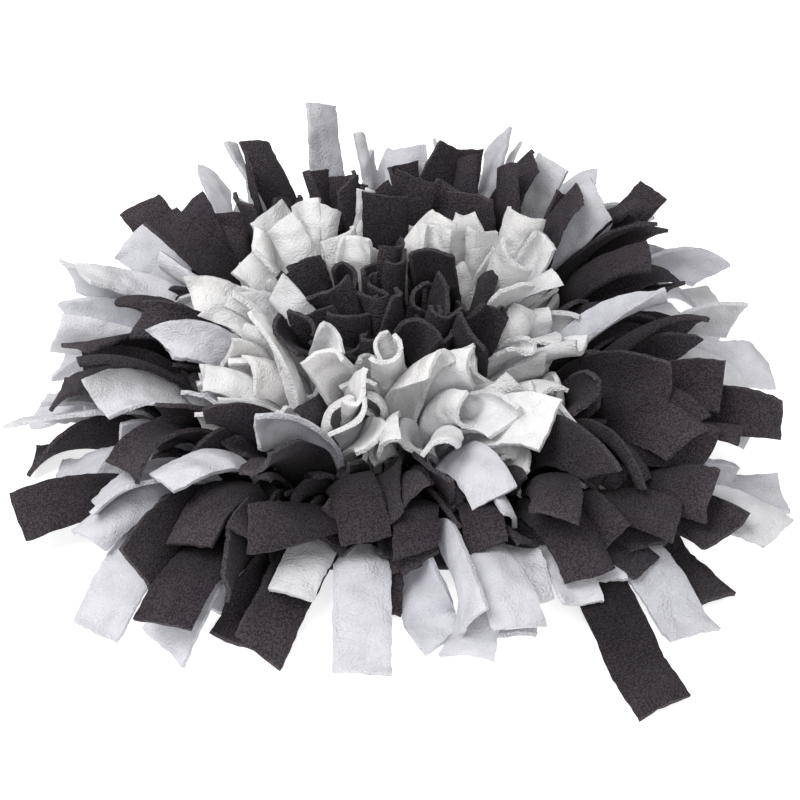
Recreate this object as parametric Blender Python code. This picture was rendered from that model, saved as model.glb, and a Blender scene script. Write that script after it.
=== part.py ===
"""Snuffle mat: a flat square base with rings of fleece strips knotted to it.

Metres, +Z up, the underside of the base on z = 0, the front towards -Y.

Every strip hangs from its root, which is fused into the ring of backing cloth
that it is sewn to. The strips start out as short stubs in even rows. They then
grow to full size a little at a time, while each one leans, turns and curls at
random, and a change is kept only if the strip touches nothing.
"""
import math
import random

import bmesh
import bpy
from mathutils import Matrix, Vector
from mathutils.bvhtree import BVHTree

for old in list(bpy.data.objects):
    bpy.data.objects.remove(old)

# ---------------------------------------------------------------- cloth sizes
STRIP_WIDTH = 0.028      # cut width of a strip
TAIL_LENGTH = 0.090      # free length from the knot to the cut end
FLEECE = 0.0024          # thickness of the fleece
SOLID_FLEECE = 0.0014    # thickness of the flat solids, which leaves room for the nap
SOLID_GAP = 0.0005       # least gap between two solids
CURLED_FLEECE = 0.0011   # the core of a curled strip, whose nap may be pressed
SPANS = 5                # straight spans in a strip's solid

# ----------------------------------------------------------------- base sizes
BASE_HALF = 0.137        # half the side of the base
BASE_THICK = 0.003
SQUARENESS = 4.5         # exponent of the rounded square: 2 is a circle
BACKING_BOTTOM = 0.0033  # the backing rings lie just above the base
BACKING_TOP = 0.0063
RING_GAP = 0.0005        # between one backing ring and the next
KNOT_TOP = 0.0080        # the strips leave their knots at this height
CLEAR_OF_BACKING = 0.0068  # past its knot a strip stays above this over the base
CLEAR_OF_EDGE = 0.002    # and this far outside the edge of the base
ROOT_MARGIN = 0.0045     # a root stays this far inside its ring
ROOT_DEPTH = 0.0048      # roots start at this height, inside the backing

# ------------------------------------------------------------- strip gathers
ROOT_CURL = 1.3          # half angle of the section at the knot, in radians
RELAX = 0.020            # the section opens out over this length
GATHER = 0.030           # the full width is reached at this length
ROOT_SHARE = 0.33        # share of the width that is left at the knot

# --------------------------------------------------------------- arrangement
SEED = 7
SCATTER = 12            # degrees that headings vary by at the rim
SWEEPS = 150
START = 0.12             # share of its size at which a strip starts
STUB_WIDTH = 0.2         # share of the width at no size at all
SPACING = 0.0142         # between neighbours in a row
ROW_PITCH = 0.0096
RIM = 0.124              # the outermost row
BED = 0.0030             # each row lies this much higher than the one outside it
KEEP = 0.62              # strips that stay smaller than this are left out
MOST = 296               # and the smallest of those beyond this number
REACH = 0.15             # only strips with roots this close can touch
ROOT_SPACING = 0.008     # roots stay this far apart


def table(text):
    """Rows of a small text table as dicts, numbers where they can be."""
    lines = [line.split() for line in text.strip().splitlines()]
    names = lines[0]
    rows = []
    for cells in lines[1:]:
        rows.append({n: c if c[0].isalpha() else float(c) for n, c in zip(names, cells)})
    return rows


# Rows from the rim to the middle. Angles in degrees above the level; back_lift
# is added to tip_rise at the back, where the strips stand instead of hanging,
# and stray is the share of strips that have the other colour.
ROWS = table("""
colour    root_rise  tip_rise  back_lift  curl   stray  length
white         46       -40         8      0.25    0.16    90
white         53       -42        50      0.30    0.50    90
charcoal      74       -62       102      0.40    0.10    90
charcoal      83       -58       102      0.45    0.04    90
charcoal      89       -50        98      0.50    0.04    88
white         92       -46        94      0.70    0.04    86
white         93       -32        80      0.90    0.04    82
white         93       -14        62      1.05    0.04    80
white         92         6        44      1.15    0.04    78
charcoal      90        22        30      1.15    0.00    70
charcoal      90        38        20      1.20    0.00    68
charcoal      89        56         8      1.30    0.00    66
charcoal      89        74         0      1.35    0.00    66
""")

# The rings of backing, named by the strips they carry, from the outside in.
RINGS = table("""
name            first_row  last_row
rim_strips          0          1
dark_strips         2          4
light_strips        5          8
centre_strips       9         12
""")

# Strips with a place of their own: root in millimetres, angles in degrees.
PLACED = table("""
colour      x     y   heading  root_rise  tip_rise  roll  curl  length
white     -114  -114   -115       35        -40       0   0.15    90
white      -32  -116   -109       32        -20     -20   0.20    90
white      -15  -130    -88       35        -40       0   0.15    90
white       33  -122    -71       48        -38     -11   0.30    90
white       64  -130    -95       35        -40       0   0.15    88
white      107  -125    -53       35        -40       0   0.20    90
white      117   -92    -29       32        -22       8   0.30    90
white      109   -64     -4       35        -40       0   0.15    90
white      116    60    -53       32          4      24   0.30    90
white     -116   118    177       35        -40       0   0.20    90
white     -120    98   -161       35        -40       0   0.20    90
white     -121    19    169       35        -40       0   0.20    90
white     -126   -15    177       35        -40       0   0.15    90
white     -115   -72    167       35        -40       0   0.15    90
charcoal  -112   -92   -166       32        -20     -20   0.30    90
white     -100   -80   -136       32        -22       6   1.10    90
charcoal   -78  -116   -111       36        -20       1   0.30    94
charcoal   -74   -98   -108       71        -38       6   0.30    90
charcoal   -32  -130   -140       82        -42       5   0.30    88
charcoal   -51  -108   -102      104        -58     -13   0.30    90
charcoal   -30  -108    -76      102        -70      30   0.30    90
charcoal     8  -112    -90      100        -60       1   0.30    90
charcoal     2   -94    -78      106        -64      20   0.35    92
charcoal    70  -118   -131       32        -14     -36   0.30    90
charcoal    38  -112    -81      102        -55      10   0.30    92
white       24   -84    -60      100        -43      24   0.30    94
charcoal    92   -84    -85      100        -60      20   0.50    92
charcoal    75  -106    -32       59        -15      -2   0.30    90
charcoal    82   -92    -56       36        -12      -4   0.30    92
charcoal    85  -130    -71       28        -40       0   0.20   118
charcoal    58  -124    -58       64        -50       9   0.80    88
charcoal    81   -80    -15       54         -3      -4   0.30    90
white      -80   -33    -98      102        -27     -27   0.20    90
white      -61   -36   -169       71          5     -15   0.70    90
charcoal  -112    73    126       37         15     -27   0.20    92
charcoal  -106    54    117       72          4     -45   0.20    90
charcoal  -101    64     94       40         43     -21   0.20    90
white      -39    72    153       46         53     -24   0.30    90
charcoal   -60   120    128       62         44      17   0.40    92
white      -42   124     95       78         58      50   0.20   108
charcoal   -40   108     84       82         62     -12   0.45    90
charcoal   -62   104     45       59         47       1   0.20    90
charcoal    -7    52     86       60         80      17   0.40    90
charcoal   -13    80     50       63         70       6   0.30    90
charcoal    26   107     71       50         76      -8   0.30    90
white       61   100     37       57         49      -4   0.30    90
white       75    76     25       71         34      38   0.20    90
charcoal    96   100     25       36         50       6   0.30    92
charcoal    88    50     -3       90          0       6   0.30    90
white       72    62    -47       36         50      -7   1.30    90
charcoal    10    45     40       58         78       3   0.90    90
""")


def mix(a, b, t):
    return a + (b - a) * t


def ring_radius(x, y):
    """Half the side of the rounded square through this point."""
    n = SQUARENESS
    return (abs(x) ** n + abs(y) ** n) ** (1 / n)


def on_ring(radius, angle):
    c, s = math.cos(angle), math.sin(angle)
    k = radius / ring_radius(c, s)
    return k * c, k * s


def row_radius(row):
    return RIM - row * ROW_PITCH


def ring_edges(ring):
    outer = row_radius(ring["first_row"]) + ROW_PITCH / 2
    inner = row_radius(ring["last_row"]) - ROW_PITCH / 2
    if ring["first_row"] == 0:
        outer += 0.002
    return max(inner, 0.0), outer


def ring_of(x, y):
    r = ring_radius(x, y)
    for ring in RINGS:
        if r >= ring_edges(ring)[0]:
            return ring
    return RINGS[-1]


def inside_ring(x, y):
    """The nearest place where a whole root is over one ring."""
    r = ring_radius(x, y)
    inner, outer = ring_edges(ring_of(x, y))
    low = inner + ROOT_MARGIN if inner > 0 else 0.0
    wanted = min(max(r, low), outer - ROOT_MARGIN)
    k = wanted / max(r, 1e-6)
    return x * k, y * k


class Tail:
    """One free end of a strip, from its knot to its cut end."""

    def __init__(self, **values):
        self.__dict__.update(values)

    def but(self, **changes):
        return Tail(**{**self.__dict__, **changes})

    def line(self, spans, rest, rooted=False):
        """(share of the length, point, across, normal) at each station."""
        stations = []
        point = Vector((self.x, self.y, KNOT_TOP))
        step = self.length * self.grown / spans
        low = rest / 2 + self.bed
        # A stub stands straight up, and flops over as it grows.
        tip_rise = mix(self.root_rise, self.tip_rise, min(1.0, self.grown / KEEP))
        for i in range(spans + 1):
            t = i / spans
            rise = mix(tip_rise, self.root_rise, (1 - t) ** self.droop)
            heading = self.heading + self.swerve * t * t
            if point.z <= low + 1e-6 and rise < 0:
                rise = 0.0
            along = Vector((math.cos(rise) * math.cos(heading),
                            math.cos(rise) * math.sin(heading), math.sin(rise)))
            across = Vector((-math.sin(heading), math.cos(heading), 0))
            if rooted and i == 0:
                # The root goes straight down into the backing.
                foot = Vector((self.x, self.y, ROOT_DEPTH))
                stations.append((0.0, foot, across, Vector((0, 0, 1)).cross(across)))
            roll = (self.roll + self.twist * t) * min(1.0, t * SPANS)
            if self.tip_rise < 0:
                roll *= min(1.0, max(0.0, (point.z - low) / 0.015))
            across = Matrix.Rotation(roll, 3, along) @ across
            stations.append((t, point.copy(), across, along.cross(across).normalized()))
            point = point + along * step
            point.z = max(point.z, low)
        return stations

    def section(self, t, columns, curled):
        """(offset across, offset along the normal, slope) over the width."""
        s = t * self.length * self.grown
        half = abs(self.curl) + (ROOT_CURL - abs(self.curl)) * math.exp(-s / RELAX)
        share = min(1.0, s / GATHER)
        share = share * share * (3 - 2 * share)
        width = STRIP_WIDTH * mix(STUB_WIDTH, 1.0, self.grown) * mix(ROOT_SHARE, 1.0, share)
        if not curled:
            reach = width / (2 * half) * math.sin(half)
            return [(-reach, 0.0, 0.0), (reach, 0.0, 0.0)]
        side = 1 if self.curl >= 0 else -1
        # With some skew one edge curls more, and with much it turns back.
        skew = self.skew * t
        slopes = []
        for j in range(columns + 1):
            u = 2 * j / columns - 1
            slopes.append(half * (u + skew * (u * u - 1 / 3)))
        x = y = 0.0
        points = [(x, y)]
        for a, b in zip(slopes, slopes[1:]):
            x += math.cos((a + b) / 2) * width / columns
            y += math.sin((a + b) / 2) * width / columns
            points.append((x, y))
        x = sum(p[0] for p in points) / len(points)
        y = sum(p[1] for p in points) / len(points)
        return [(p - x, side * (q - y), -side * a) for (p, q), a in zip(points, slopes)]

    def skin(self, spans, columns, curled, thick, rest, rooted=False):
        """Vertices and quads of the closed strip, its line as high as one
        with the thickness `rest` would have to lie."""
        upper, lower = [], []
        for t, point, across, normal in self.line(spans, rest, rooted):
            pairs = []
            for x, y, slope in self.section(t, columns, curled):
                out = across * math.sin(slope) + normal * math.cos(slope)
                middle = point + across * x + normal * y
                pairs.append((middle + out * thick / 2, middle - out * thick / 2))
            lowest = min(min(a.z, b.z) for a, b in pairs)
            lift = Vector((0, 0, max(0.0, (rest - thick) / 2 - lowest)))
            upper.append([a + lift for a, b in pairs])
            lower.append([b + lift for a, b in pairs])
        m, n = len(upper[0]), len(upper)
        verts = [v for row in upper for v in row] + [v for row in lower for v in row]
        half = n * m
        faces = []
        for i in range(n - 1):
            for j in range(m - 1):
                k = i * m + j
                faces.append((k, k + 1, k + m + 1, k + m))
                faces.append((half + k, half + k + m, half + k + m + 1, half + k + 1))
            k, e = i * m, i * m + m - 1
            faces.append((k, k + m, half + k + m, half + k))
            faces.append((e, half + e, half + e + m, e + m))
        for j in range(m - 1):
            k = (n - 1) * m + j
            faces.append((j, half + j, half + j + 1, j + 1))
            faces.append((k, k + 1, half + k + 1, half + k))
        if not curled:
            # Split here, so that every later step splits them the same way.
            faces = [half for a, b, c, d in faces for half in ((a, b, c), (a, c, d))]
        return verts, faces


def digs_in(verts):
    """Whether a flat rooted strip dips into the base past its own knot."""
    stations = SPANS + 2
    for side in (0, 2 * stations):
        for k in range(side + 4, side + 2 * stations):
            for point in (verts[k], (verts[k] + verts[k - 2]) / 2):
                if (point.z < CLEAR_OF_BACKING
                        and ring_radius(point.x, point.y) < BASE_HALF + CLEAR_OF_EDGE):
                    return True
    return False


class Fence:
    """A tail's two forms, flat and curled, as trees to test for touching.

    The curled form is only made once the flat one has passed."""

    FORMS = ((SPANS, 1, False, SOLID_FLEECE + SOLID_GAP, SOLID_FLEECE, True),
             (7, 4, True, CURLED_FLEECE, FLEECE, False))

    def __init__(self, tail):
        self.tail = tail
        self.trees = [None, None]

    def tree(self, form):
        if self.trees[form] is None:
            verts, faces = self.tail.skin(*self.FORMS[form])
            xs, ys, zs = zip(*verts)
            box = (min(xs), min(ys), min(zs), max(xs), max(ys), max(zs))
            low = form == 0 and digs_in(verts)
            self.trees[form] = (BVHTree.FromPolygons(verts, faces), box, low)
        return self.trees[form]

    def touches(self, others):
        x, y = self.tail.x, self.tail.y
        for other in others:
            if math.hypot(other.tail.x - x, other.tail.y - y) < ROOT_SPACING:
                return True
        for form in (0, 1):
            tree, a, low = self.tree(form)
            if low:
                return True
            for other in others:
                beside, b, _ = other.tree(form)
                if (a[0] > b[3] or b[0] > a[3] or a[1] > b[4] or b[1] > a[4]
                        or a[2] > b[5] or b[2] > a[5]):
                    continue
                if tree.overlap(beside):
                    return True
        return False


def slab(radius, bottom, top, corners=40):
    """Vertices and faces of a rounded square plate."""
    ring = [on_ring(radius, 2 * math.pi * i / corners) for i in range(corners)]
    verts = [Vector((x, y, z)) for z in (bottom, top) for x, y in ring]
    faces = [(i, (i + 1) % corners, corners + (i + 1) % corners, corners + i)
             for i in range(corners)]
    faces.append(tuple(reversed(range(corners))))
    faces.append(tuple(range(corners, 2 * corners)))
    return verts, faces


def placed_tails():
    tails = []
    for row in PLACED:
        x, y = inside_ring(row["x"] / 1000, row["y"] / 1000)
        roll = math.radians(row["roll"])
        tails.append(Tail(
            x=x, y=y, heading=math.radians(row["heading"]),
            root_rise=math.radians(row["root_rise"]), tip_rise=math.radians(row["tip_rise"]),
            droop=1.6 if row["tip_rise"] == -40 else 1.0, length=row["length"] / 1000,
            swerve=0.0, roll=0.3 * roll, twist=0.7 * roll, curl=-row["curl"], skew=0.0, bed=0.0,
            colour=row["colour"], row=-1, grown=START))
    return tails


def other(colour):
    return "white" if colour == "charcoal" else "charcoal"


def loose_tail(chance, k, angle, x, y):
    """A stub of row k at (x, y), which lies at this angle from the middle."""
    row = ROWS[k]
    lift = row["back_lift"] * max(0.0, math.sin(angle) - 0.25) / 0.75
    root_rise = min(92.0, row["root_rise"] + lift / 4)
    lean = row["tip_rise"] + lift + chance.gauss(0, 10)
    strays = chance.random() < row["stray"] * (1 - 0.9 * math.sin(angle))
    return Tail(
        x=x, y=y, heading=angle + chance.gauss(0, math.radians(SCATTER + 3 * k)),
        root_rise=math.radians(root_rise), tip_rise=math.radians(lean),
        droop=1.6 if k < 2 else 1.15 if k < 4 else 0.95,
        length=row["length"] / 1000, swerve=chance.gauss(0, 0.2),
        roll=chance.gauss(0, 0.5), twist=chance.gauss(0, 0.7),
        curl=row["curl"] * chance.uniform(0.6, 1.3) * chance.choice((1, 1, -1)),
        skew=max(-1.3, min(1.3, chance.gauss(0, 0.7))),
        bed=min(k, 6) * BED, row=k, grown=START,
        colour=other(row["colour"]) if strays else row["colour"])


def row_tails(chance):
    tails = []
    for k in range(len(ROWS)):
        radius = row_radius(k)
        count = max(2, int(2 * math.pi * radius * 1.05 / SPACING))
        for i in range(count):
            angle = 2 * math.pi * (i + 0.5 * (k % 2)) / count
            tails.append(loose_tail(chance, k, angle, *on_ring(radius, angle)))
    return tails


def nudged(tail, first, chance, size):
    """The tail with one of its ways of lying changed a little, or None."""
    deg = math.radians
    new = tail.but()
    if tail.row < 0:
        new.heading = first.heading + chance.gauss(0, deg(3))
        new.root_rise = first.root_rise + chance.gauss(0, deg(3))
        new.tip_rise = first.tip_rise + chance.gauss(0, deg(3))
        new.roll = first.roll + chance.gauss(0, deg(3))
        new.twist = first.twist + chance.gauss(0, deg(4))
        new.x, new.y = inside_ring(first.x + chance.gauss(0, 0.0015),
                                   first.y + chance.gauss(0, 0.0015))
        return new
    kind = chance.random()
    if kind < 0.3:
        new.heading = tail.heading + chance.gauss(0, deg(12)) * size
        if abs(new.heading - first.heading) > deg(32 + 4 * tail.row):
            return None
        new.swerve = max(-0.7, min(0.7, tail.swerve + chance.gauss(0, 0.2) * size))
    elif kind < 0.6:
        new.roll = max(-1.5, min(1.5, tail.roll + chance.gauss(0, deg(25)) * size))
        new.twist = max(-1.5, min(1.5, tail.twist + chance.gauss(0, deg(20)) * size))
    elif kind < 0.8:
        small = 1 - tail.grown
        new.tip_rise = tail.tip_rise + chance.gauss(0, deg(10 + 25 * small)) * size
        if not -deg(25) < new.tip_rise - first.tip_rise < deg(25 + 60 * small):
            return None
        rise = tail.root_rise + chance.gauss(0, deg(5)) * size
        new.root_rise = max(deg(30), min(deg(100), rise))
        new.droop = max(0.7, min(2.6, tail.droop + chance.gauss(0, 0.25)))
        new.bed = max(0.0, tail.bed - chance.random() * 0.003)
    elif kind < 0.9:
        new.curl = tail.curl + chance.gauss(0, 0.25) * size
        if chance.random() < 0.15:
            new.curl = -new.curl
        new.skew = max(-1.4, min(1.4, tail.skew + chance.gauss(0, 0.3) * size))
        if not 0.08 < abs(new.curl) < 1.5 * ROWS[tail.row]["curl"] + 0.1:
            return None
    else:
        new.x, new.y = inside_ring(tail.x + chance.gauss(0, 0.003),
                                   tail.y + chance.gauss(0, 0.003))
        if math.hypot(new.x - first.x, new.y - first.y) > 0.008:
            return None
        new.length = max(first.length - 0.010,
                         min(first.length + 0.008, tail.length + chance.gauss(0, 0.004)))
    return new


def arrange():
    """All the tails, grown to full size among each other."""
    chance = random.Random(SEED)
    placed = placed_tails()
    loose = [t for t in row_tails(chance)
             if all(math.hypot(t.x - p.x, t.y - p.y) >= ROOT_SPACING for p in placed)]
    fences = []
    for tail in placed + loose:
        for shift in (0, 0, 1, 1, 2, 2, 3, 3, 4, 4, 5, 5) if tail.row < 0 else (0,):
            x, y = inside_ring(tail.x + chance.gauss(0, 0.002) * shift,
                               tail.y + chance.gauss(0, 0.002) * shift)
            fence = Fence(tail.but(x=x, y=y))
            if not fence.touches(fences):
                fences.append(fence)
                break
    first = [f.tail for f in fences]
    for sweep in range(SWEEPS):
        done = sweep / SWEEPS
        if sweep % (SWEEPS // 5) == 0:
            # Those that are stuck early give way to the others.
            going = [i for i, f in enumerate(fences)
                     if f.tail.row < 0 or f.tail.grown >= START + 0.45 * done]
            fences, first = [fences[i] for i in going], [first[i] for i in going]
            near = [[j for j, b in enumerate(first)
                     if j != i and math.hypot(a.x - b.x, a.y - b.y) < REACH]
                    for i, a in enumerate(first)]
            order = list(range(len(fences)))
        size = mix(1.0, 0.35, done)
        chance.shuffle(order)
        for i in order:
            small = fences[i].tail.grown < 1
            for growing in ((0, 1) if done < 0.6 or not small else (0, 1, 0, 1, 0, 1)):
                tail = fences[i].tail
                if growing:
                    most = min(1.0, START + 1.25 * done + (0.35 if tail.row < 0 else 0.0))
                    if tail.grown >= most:
                        continue
                    new = tail.but(grown=min(most, tail.grown + chance.uniform(0.01, 0.06)))
                else:
                    new = nudged(tail, first[i], chance, size)
                if new is None:
                    continue
                fence = Fence(new)
                if not fence.touches([fences[j] for j in near[i]]):
                    fences[i] = fence
    kept = sorted((f.tail for f in fences if f.tail.grown >= KEEP),
                  key=lambda tail: -tail.grown)
    return kept[:MOST]


# ---- solids ----
def paint(name, colour, roughness):
    material = bpy.data.materials.new(name)
    material.use_nodes = True
    shader = material.node_tree.nodes["Principled BSDF"]
    shader.inputs["Base Color"].default_value = (*colour, 1)
    shader.inputs["Roughness"].default_value = roughness
    return material


PAINTS = {
    "white": paint("white fleece", (0.80, 0.80, 0.83), 0.95),
    "charcoal": paint("charcoal fleece", (0.045, 0.041, 0.046), 0.95),
    "base": paint("base felt", (0.10, 0.10, 0.11), 0.9),
}


def solid(name, verts, faces, colour):
    """A closed mesh object with its faces turned outwards."""
    mesh = bpy.data.meshes.new(name)
    mesh.from_pydata([tuple(v) for v in verts], [], faces)
    work = bmesh.new()
    work.from_mesh(mesh)
    bmesh.ops.recalc_face_normals(work, faces=work.faces)
    work.to_mesh(mesh)
    work.free()
    mesh.materials.append(PAINTS[colour])
    item = bpy.data.objects.new(name, mesh)
    bpy.context.scene.collection.objects.link(item)
    return item


def backing(ring, corners=32):
    """The flat ring of cloth that a ring of strips is sewn to."""
    inner, outer = ring_edges(ring)
    outer -= RING_GAP / 2
    angles = [2 * math.pi * i / corners for i in range(corners)]
    if inner == 0:
        return slab(outer, BACKING_BOTTOM, BACKING_TOP, corners)
    inner += RING_GAP / 2
    loops = []
    for radius, z in ((inner, BACKING_BOTTOM), (outer, BACKING_BOTTOM),
                      (outer, BACKING_TOP), (inner, BACKING_TOP)):
        loops.append([Vector((*on_ring(radius, a), z)) for a in angles])
    verts = [v for loop in loops for v in loop]
    faces = []
    for a in range(4):
        b = (a + 1) % 4
        for i in range(corners):
            j = (i + 1) % corners
            faces.append((a * corners + i, a * corners + j, b * corners + j, b * corners + i))
    return verts, faces


def fused(item, others):
    """The item with the others united to it, as one mesh."""
    join = item.modifiers.new("roots", "BOOLEAN")
    join.operation = "UNION"
    join.solver = "EXACT"
    join.object = others
    shape = bpy.data.meshes.new_from_object(
        item.evaluated_get(bpy.context.evaluated_depsgraph_get()))
    item.modifiers.clear()
    item.data = shape
    bpy.data.objects.remove(others)
    return item


TAILS = arrange()

solid("base_mat", *slab(BASE_HALF, 0.0, BASE_THICK), "base")

for ring in RINGS:
    colour = ROWS[int(ring["first_row"])]["colour"]
    sewn = [t for t in TAILS if ring_of(t.x, t.y) is ring]
    verts, faces = [], []
    for tail in sewn:
        v, f = tail.skin(SPANS, 1, False, SOLID_FLEECE, SOLID_FLEECE, rooted=True)
        faces += [[k + len(verts) for k in face] for face in f]
        verts += v
    strips = solid(ring["name"] + "_tails", verts, faces, colour)
    fused(solid(ring["name"], *backing(ring), colour), strips)
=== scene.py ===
# %% [markdown]
# # A snuffle mat
#
# A snuffle mat is a flat square of cloth with hundreds of fleece strips knotted
# to it, in which a dog looks for its food. This lesson dresses such a mat. It
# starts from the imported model: a base, four backing rings and a plain flat
# solid for each strip. It lays a curled fleece strip where each of those solids
# is, and gives everything its cloth.
#
# Units are metres and +Z is up. The mat lies on the floor at z = 0, with its
# front towards -Y.

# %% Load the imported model
import math
import random

import bmesh
import bpy
from mathutils import Matrix, Vector, noise
from mathutils.bvhtree import BVHTree


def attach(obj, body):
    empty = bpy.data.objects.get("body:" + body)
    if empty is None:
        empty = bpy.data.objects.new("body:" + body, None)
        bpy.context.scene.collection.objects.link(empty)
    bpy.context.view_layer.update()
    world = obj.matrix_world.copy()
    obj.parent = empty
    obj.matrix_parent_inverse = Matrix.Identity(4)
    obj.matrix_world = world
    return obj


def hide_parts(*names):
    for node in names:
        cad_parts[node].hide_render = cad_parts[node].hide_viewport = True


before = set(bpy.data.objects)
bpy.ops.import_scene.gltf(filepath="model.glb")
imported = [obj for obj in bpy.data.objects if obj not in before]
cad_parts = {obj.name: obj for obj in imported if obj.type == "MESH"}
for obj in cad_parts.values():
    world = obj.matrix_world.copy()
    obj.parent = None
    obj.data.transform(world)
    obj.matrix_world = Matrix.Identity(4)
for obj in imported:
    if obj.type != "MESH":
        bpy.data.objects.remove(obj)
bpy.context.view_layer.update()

print("nodes:", ", ".join(sorted(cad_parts)))

# %% [markdown]
# ## The camera
#
# The mat is looked down on from a low stool: 37 degrees above the level and
# 0.8 m away. The lens is long for that distance, so the front strips are only a
# little larger than those at the back. A camera looks along its own -Z, so a
# turn of 90 degrees about X makes it look along +Y, and less than that tips it
# down.

# %% Camera
LOOK_DOWN = math.radians(37)
TIP_MORE = math.radians(1.6)     # the mat sits a little above the picture's middle
DISTANCE = 0.8
AIM_HEIGHT = 0.03

view = bpy.data.cameras.new("view")
view.lens = 63
view.sensor_width = 36
camera = bpy.data.objects.new("view", view)
camera.location = (0, -DISTANCE * math.cos(LOOK_DOWN),
                   AIM_HEIGHT + DISTANCE * math.sin(LOOK_DOWN))
camera.rotation_euler = (math.pi / 2 - LOOK_DOWN - TIP_MORE, 0, 0)
bpy.context.scene.collection.objects.link(camera)
bpy.context.scene.camera = camera
print("camera at", [round(v, 3) for v in camera.location])

# %% [markdown]
# ## Floor and light
#
# The mat is black and white, so the light decides whether both show their form.
# A white world fills the shadows from all sides, and one large soft lamp, high
# up on the left, gives the strips a light side and a dark side. A weaker one in
# front reaches in between the strips. The floor glows a little, like a table of
# milk glass, which takes the weight out of the shadows under the mat. The
# standard view keeps the white floor white.

# %% Floor and light
FLOOR_SIZE = 6.0

bpy.context.scene.view_settings.view_transform = "Standard"
world = bpy.data.worlds.new("studio")
world.use_nodes = True
world.node_tree.nodes["Background"].inputs["Color"].default_value = (1, 1, 1, 1)
world.node_tree.nodes["Background"].inputs["Strength"].default_value = 0.46
bpy.context.scene.world = world


def soft_lamp(name, place, aim, size, watts):
    """A square area lamp at place that shines towards aim."""
    lamp = bpy.data.lights.new(name, "AREA")
    lamp.size = size
    lamp.energy = watts
    holder = bpy.data.objects.new(name, lamp)
    holder.location = place
    holder.rotation_euler = (Vector(aim) - Vector(place)).to_track_quat("-Z", "Y").to_euler()
    bpy.context.scene.collection.objects.link(holder)
    return holder


key = soft_lamp("key_lamp", (-0.40, -0.25, 0.90), (0, 0, 0), 0.6, 7.5)
front = soft_lamp("front_lamp", (0.20, -1.20, 0.90), (0, 0, 0.08), 0.6, 5)

shape = bmesh.new()
bmesh.ops.create_grid(shape, x_segments=1, y_segments=1, size=FLOOR_SIZE / 2)
mesh = bpy.data.meshes.new("floor")
shape.to_mesh(mesh)
shape.free()
floor = bpy.data.objects.new("floor", mesh)
floor_paint = bpy.data.materials.new("pale floor")
floor_paint.use_nodes = True
floor_shader = floor_paint.node_tree.nodes["Principled BSDF"]
floor_shader.inputs["Base Color"].default_value = (0.95, 0.95, 0.95, 1)
floor_shader.inputs["Roughness"].default_value = 0.8
floor_shader.inputs["Emission Color"].default_value = (1, 1, 1, 1)
floor_shader.inputs["Emission Strength"].default_value = 0.6
mesh.materials.append(floor_paint)
bpy.context.scene.collection.objects.link(floor)
print("lamps:", key.name, "and", front.name, "over a floor of", FLOOR_SIZE, "m")

# %% [markdown]
# ## The cloth
#
# Every strip is cut 28 mm wide from fleece that is 2.4 mm thick, and about 90 mm
# of it is free after the knot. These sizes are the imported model's own. The
# sizes of the solids are here too, because the strips are laid out once more
# below, with the same tests and the same dice, so that each curled strip lands
# where its flat solid is.

# %% Sizes of the strips
STRIP_WIDTH = 0.028      # cut width of a strip
TAIL_LENGTH = 0.090      # free length from the knot to the cut end
FLEECE = 0.0024          # thickness of the fleece
SOLID_FLEECE = 0.0014    # thickness of the flat solids, which leaves room for the nap
SOLID_GAP = 0.0005       # least gap between two solids
CURLED_FLEECE = 0.0011   # the core of a curled strip, whose nap may be pressed
SPANS = 5                # straight spans in a strip's solid

print("a strip is", STRIP_WIDTH, "m wide and", TAIL_LENGTH, "m long")

# %% [markdown]
# The base is a rounded square of felt with four rings of backing on it, in
# which the knots sit. A strip leaves its knot just above the backing. Past the
# knot it stays clear of the backing and of the edge of the base, so that no two
# solids meet.

# %% Sizes of the base
BASE_HALF = 0.137        # half the side of the base
BASE_THICK = 0.003
SQUARENESS = 4.5         # exponent of the rounded square: 2 is a circle
BACKING_BOTTOM = 0.0033  # the backing rings lie just above the base
BACKING_TOP = 0.0063
RING_GAP = 0.0005        # between one backing ring and the next
KNOT_TOP = 0.0080        # the strips leave their knots at this height
CLEAR_OF_BACKING = 0.0068  # past its knot a strip stays above this over the base
CLEAR_OF_EDGE = 0.002    # and this far outside the edge of the base
ROOT_MARGIN = 0.0045     # a root stays this far inside its ring
ROOT_DEPTH = 0.0048      # roots start at this height, inside the backing

print("base", 2 * BASE_HALF, "m square")

# %% [markdown]
# ## The rows of strips
#
# The strips are knotted in rounded square rows, and the rows change colour from
# the rim inwards: white, charcoal, white and charcoal in the middle. A small
# text table says how the strips of each row stand: steeply in the middle, and
# flopped outwards at the rim. At the back they stand rather than hang.

# %% Rows and rings
def table(text):
    """Rows of a small text table as dicts, numbers where they can be."""
    lines = [line.split() for line in text.strip().splitlines()]
    names = lines[0]
    rows = []
    for cells in lines[1:]:
        rows.append({n: c if c[0].isalpha() else float(c) for n, c in zip(names, cells)})
    return rows


ROW_PITCH = 0.0096       # between one row and the next
RIM = 0.124              # half the side of the outermost row
RIM_MARGIN = 0.002       # the outermost ring is this much wider than its rows

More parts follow.
